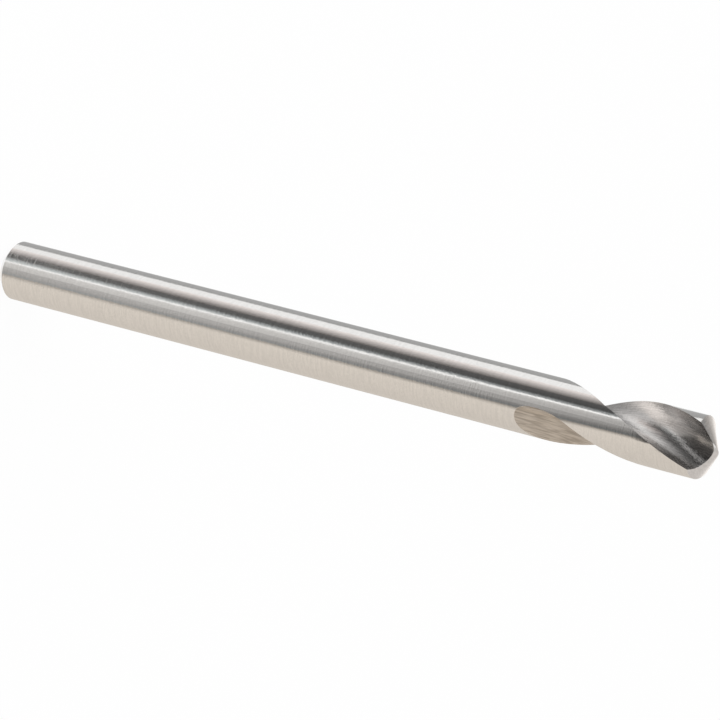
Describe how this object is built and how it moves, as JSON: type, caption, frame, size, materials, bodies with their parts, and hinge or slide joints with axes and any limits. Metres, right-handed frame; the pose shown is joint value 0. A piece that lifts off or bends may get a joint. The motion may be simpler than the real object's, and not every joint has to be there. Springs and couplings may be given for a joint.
{
  "type": "spotting drill",
  "caption": "Short-fluted spotting drill: a plain round ground shank with right-hand helical flutes at one end and a flat-angled ground point.",
  "frame": {"origin": "centre of the flat shank end, on which the drill stands", "axes": "+Z along the drill's axis, from the shank end to the point; +X and +Y only fix where the flutes start"},
  "size_m": [0.0048, 0.0048, 0.0635],
  "materials": {
    "ground_steel": "bright ground high speed steel, uncoated"
  },
  "bodies": {
    "root": {"spotting_drill": "ground_steel"}
  },
  "joints": []
}
